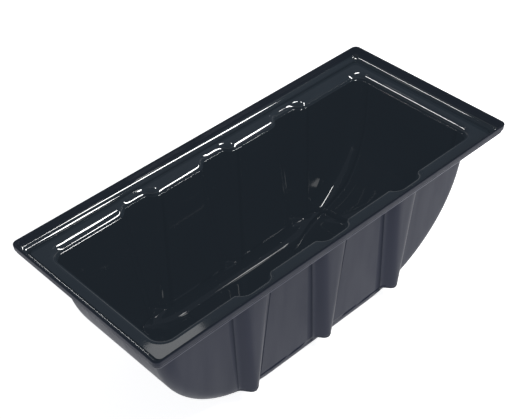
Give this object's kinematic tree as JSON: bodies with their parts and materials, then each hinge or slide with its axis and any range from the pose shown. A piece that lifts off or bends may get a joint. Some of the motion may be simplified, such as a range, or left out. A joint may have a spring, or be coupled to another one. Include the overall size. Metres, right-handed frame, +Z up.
{
  "type": "paint roller trough",
  "caption": "Deep open plastic trough with rounded ends, ribbed long sides, a flat ledge and an upstanding lip, for loading a wide paint roller.",
  "frame": {"origin": "centre of the floor's underside, at the middle of the rim in plan", "axes": "+X along the trough, +Z up out of its mouth, -Y towards the front long side"},
  "size_m": [0.61, 0.277, 0.23],
  "materials": {
    "formed_sheet": "near-black formed plastic sheet, glossy inside and satin outside"
  },
  "bodies": {
    "root": {"front_lip": "formed_sheet", "front_bend": "formed_sheet", "right_lip": "formed_sheet", "right_bend": "formed_sheet", "back_lip": "formed_sheet", "back_bend": "formed_sheet", "left_lip": "formed_sheet", "left_bend": "formed_sheet", "front_left_ledge": "formed_sheet", "front_right_ledge": "formed_sheet", "right_ledge": "formed_sheet", "back_right_ledge": "formed_sheet", "back_left_ledge": "formed_sheet", "left_ledge": "formed_sheet", "floor": "formed_sheet", "left_end": "formed_sheet", "right_end": "formed_sheet", "front_panel_outer_left": "formed_sheet", "front_panel_inner_left": "formed_sheet", "front_panel_inner_right": "formed_sheet", "front_panel_outer_right": "formed_sheet", "back_panel_outer_left": "formed_sheet", "back_panel_inner_left": "formed_sheet", "back_panel_inner_right": "formed_sheet", "back_panel_outer_right": "formed_sheet", "front_left_corner": "formed_sheet", "front_floor_edge": "formed_sheet", "front_right_corner": "formed_sheet", "back_left_corner": "formed_sheet", "back_floor_edge": "formed_sheet", "back_right_corner": "formed_sheet", "front_rib_left": "formed_sheet", "front_rib_centre": "formed_sheet", "front_rib_right": "formed_sheet", "back_rib_left": "formed_sheet", "back_rib_centre": "formed_sheet", "back_rib_right": "formed_sheet"}
  },
  "joints": []
}
